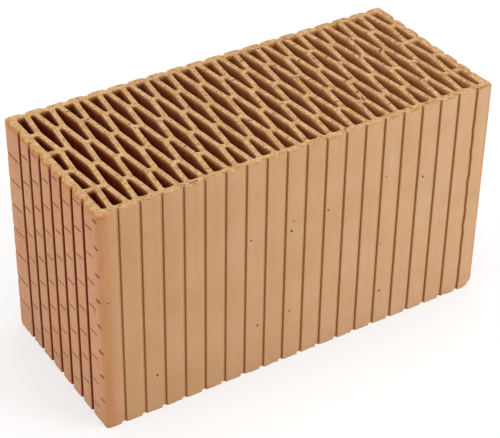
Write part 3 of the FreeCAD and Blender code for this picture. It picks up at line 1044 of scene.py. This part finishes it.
def clay_material():
    """Fired clay: ground bed faces, skin of the sides, painted shade in voids, grooves, cuts and pores,
    painted light on groove floors, breaks and fine relief.
    """
    material = bpy.data.materials.new("fired_clay")
    material.use_nodes = True
    tree = material.node_tree
    tree.nodes.clear()
    n = Nodes(tree)
    look = ClayTextures(n)
    ground = ground_colour(n, look)
    skin = fray_skin(n, look, skin_colour(n, look), ground)
    shade = n.mix(n.tint("skin"), ground, skin)
    shade = colour_voids(n, look, shade)
    shade = colour_marks(n, look, shade)

    bump = n.add("ShaderNodeBump")
    bump.inputs["Strength"].default_value = 0.5
    bump.inputs["Distance"].default_value = 0.0008
    n.link(clay_relief(n, look), bump.inputs["Height"])
    surface = n.add("ShaderNodeBsdfPrincipled")
    surface.inputs["Roughness"].default_value = 0.92
    surface.inputs["Specular IOR Level"].default_value = 0.18
    n.link(shade, surface.inputs["Base Color"])
    n.link(bump.outputs["Normal"], surface.inputs["Normal"])
    output = n.add("ShaderNodeOutputMaterial")
    n.link(surface.outputs["BSDF"], output.inputs["Surface"])
    return material


# Floor, light and camera


def floor_material():
    """Pale floor that keeps the block's shadow, and is seen as white further from the block."""
    material = bpy.data.materials.new("pale_floor")
    material.use_nodes = True
    tree = material.node_tree
    tree.nodes.clear()
    n = Nodes(tree)
    matt = n.add("ShaderNodeBsdfDiffuse")
    matt.inputs["Color"].default_value = colour(0.93, 0.93, 0.93)
    white = n.add("ShaderNodeEmission")
    white.inputs["Color"].default_value = colour(1.0, 1.0, 1.0)
    white.inputs["Strength"].default_value = 1.0
    away = n.add("ShaderNodeVectorMath", operation="LENGTH")
    n.link(n.coordinates((1, 1, 1)), away.inputs[0])
    whiteness = n.span(away.outputs["Value"], 0.45, 1.6, 0.6, 1.0)
    both = n.add("ShaderNodeMixShader")
    n.link(n.math("MULTIPLY", n.seen_rays(), whiteness), both.inputs["Fac"])
    n.link(matt.outputs["BSDF"], both.inputs[1])
    n.link(white.outputs["Emission"], both.inputs[2])
    output = n.add("ShaderNodeOutputMaterial")
    n.link(both.outputs["Shader"], output.inputs["Surface"])
    return material


def add_floor():
    mesh = bpy.data.meshes.new("floor")
    reach = 12.0
    corners = [(-reach, -reach, 0), (reach, -reach, 0), (reach, reach, 0), (-reach, reach, 0)]
    mesh.from_pydata(corners, [], [(0, 1, 2, 3)])
    mesh.materials.append(floor_material())
    floor = bpy.data.objects.new("floor", mesh)
    bpy.context.scene.collection.objects.link(floor)


def aim(thing, target):
    way = Vector(target) - thing.location
    thing.rotation_euler = way.to_track_quat("-Z", "Y").to_euler()


# Lamps: name, place, size and power in watts, all aimed at one place in the block.
LAMPS = (
    ("key_light", (1.0, -1.3, 1.3), 1.0, 15.0),
    ("left_light", (-2.0, -0.1, 1.0), 1.2, 9.7),
    ("top_light", (0.2, 0.3, 2.6), 2.0, 31.0),
)
LAMP_TARGET = (0.0, 0.0, 0.12)
WORLD_GLOW = 0.54


def add_area_light(name, place, size, power):
    light = bpy.data.lights.new(name, "AREA")
    light.size = size
    light.energy = power
    lamp = bpy.data.objects.new(name, light)
    lamp.location = place
    bpy.context.scene.collection.objects.link(lamp)
    aim(lamp, LAMP_TARGET)


def add_light():
    """Soft white surroundings, seen as plain white, and the lamps."""
    world = bpy.data.worlds.new("studio")
    world.use_nodes = True
    n = Nodes(world.node_tree)
    world.node_tree.nodes.clear()
    glow = n.add("ShaderNodeBackground")
    seen = n.add("ShaderNodeBackground")
    glow.inputs["Color"].default_value = colour(1.0, 1.0, 1.0)
    glow.inputs["Strength"].default_value = WORLD_GLOW
    seen.inputs["Color"].default_value = colour(1.0, 1.0, 1.0)
    seen.inputs["Strength"].default_value = 1.0
    both = n.add("ShaderNodeMixShader")
    n.link(n.seen_rays(), both.inputs["Fac"])
    n.link(glow.outputs["Background"], both.inputs[1])
    n.link(seen.outputs["Background"], both.inputs[2])
    output = n.add("ShaderNodeOutputWorld")
    n.link(both.outputs["Shader"], output.inputs["Surface"])
    bpy.context.scene.world = world
    for name, place, size, power in LAMPS:
        add_area_light(name, place, size, power)


# The photo's view: width in pixels, angles in degrees, focal length in pixels, place of the block's origin
# in the view and its distance in millimetres, and the shift of the view in shares of the width.
PHOTO_WIDTH = 500.0
TURN, RISE, ROLL = -31.327, 34.066, 0.121
FOCUS = 1625.2
ASIDE, ABOVE, AWAY = 35.0, -121.8, 1715.8
SHIFT_X, SHIFT_Y = 0.068, -0.062


def add_camera():
    """Camera at the photo's viewing angle: turned about Z, raised, rolled, and set back from the block."""
    turn, rise, roll = (math.radians(angle) for angle in (TURN, RISE, ROLL))
    back = Vector((math.sin(turn) * math.cos(rise), -math.cos(turn) * math.cos(rise), math.sin(rise)))
    level = Vector((math.cos(turn), math.sin(turn), 0.0))
    upright = back.cross(level)
    right = level * math.cos(roll) + upright * math.sin(roll)
    top = upright * math.cos(roll) - level * math.sin(roll)
    camera = bpy.data.cameras.new("camera")
    camera.sensor_width = 36.0
    camera.lens = FOCUS * camera.sensor_width / PHOTO_WIDTH
    camera.shift_x = SHIFT_X
    camera.shift_y = SHIFT_Y
    camera.clip_end = 50.0
    eye = bpy.data.objects.new("camera", camera)
    place = (right * -ASIDE + top * -ABOVE + back * AWAY) * MM
    axes = Matrix((right, top, back)).transposed().to_4x4()
    eye.matrix_world = Matrix.Translation(place) @ axes
    bpy.context.scene.collection.objects.link(eye)
    bpy.context.scene.camera = eye


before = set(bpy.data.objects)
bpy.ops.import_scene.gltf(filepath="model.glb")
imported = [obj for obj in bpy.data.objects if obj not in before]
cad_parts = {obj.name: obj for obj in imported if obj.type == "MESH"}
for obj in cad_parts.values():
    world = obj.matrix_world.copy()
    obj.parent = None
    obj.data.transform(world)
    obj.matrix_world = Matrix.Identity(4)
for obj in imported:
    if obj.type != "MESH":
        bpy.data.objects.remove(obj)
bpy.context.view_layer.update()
block = build_block(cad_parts[NODE])
block.data.materials.append(clay_material())
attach(block, "root")
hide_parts(NODE)
add_floor()
add_light()
add_camera()
bpy.context.scene.view_settings.view_transform = "Standard"
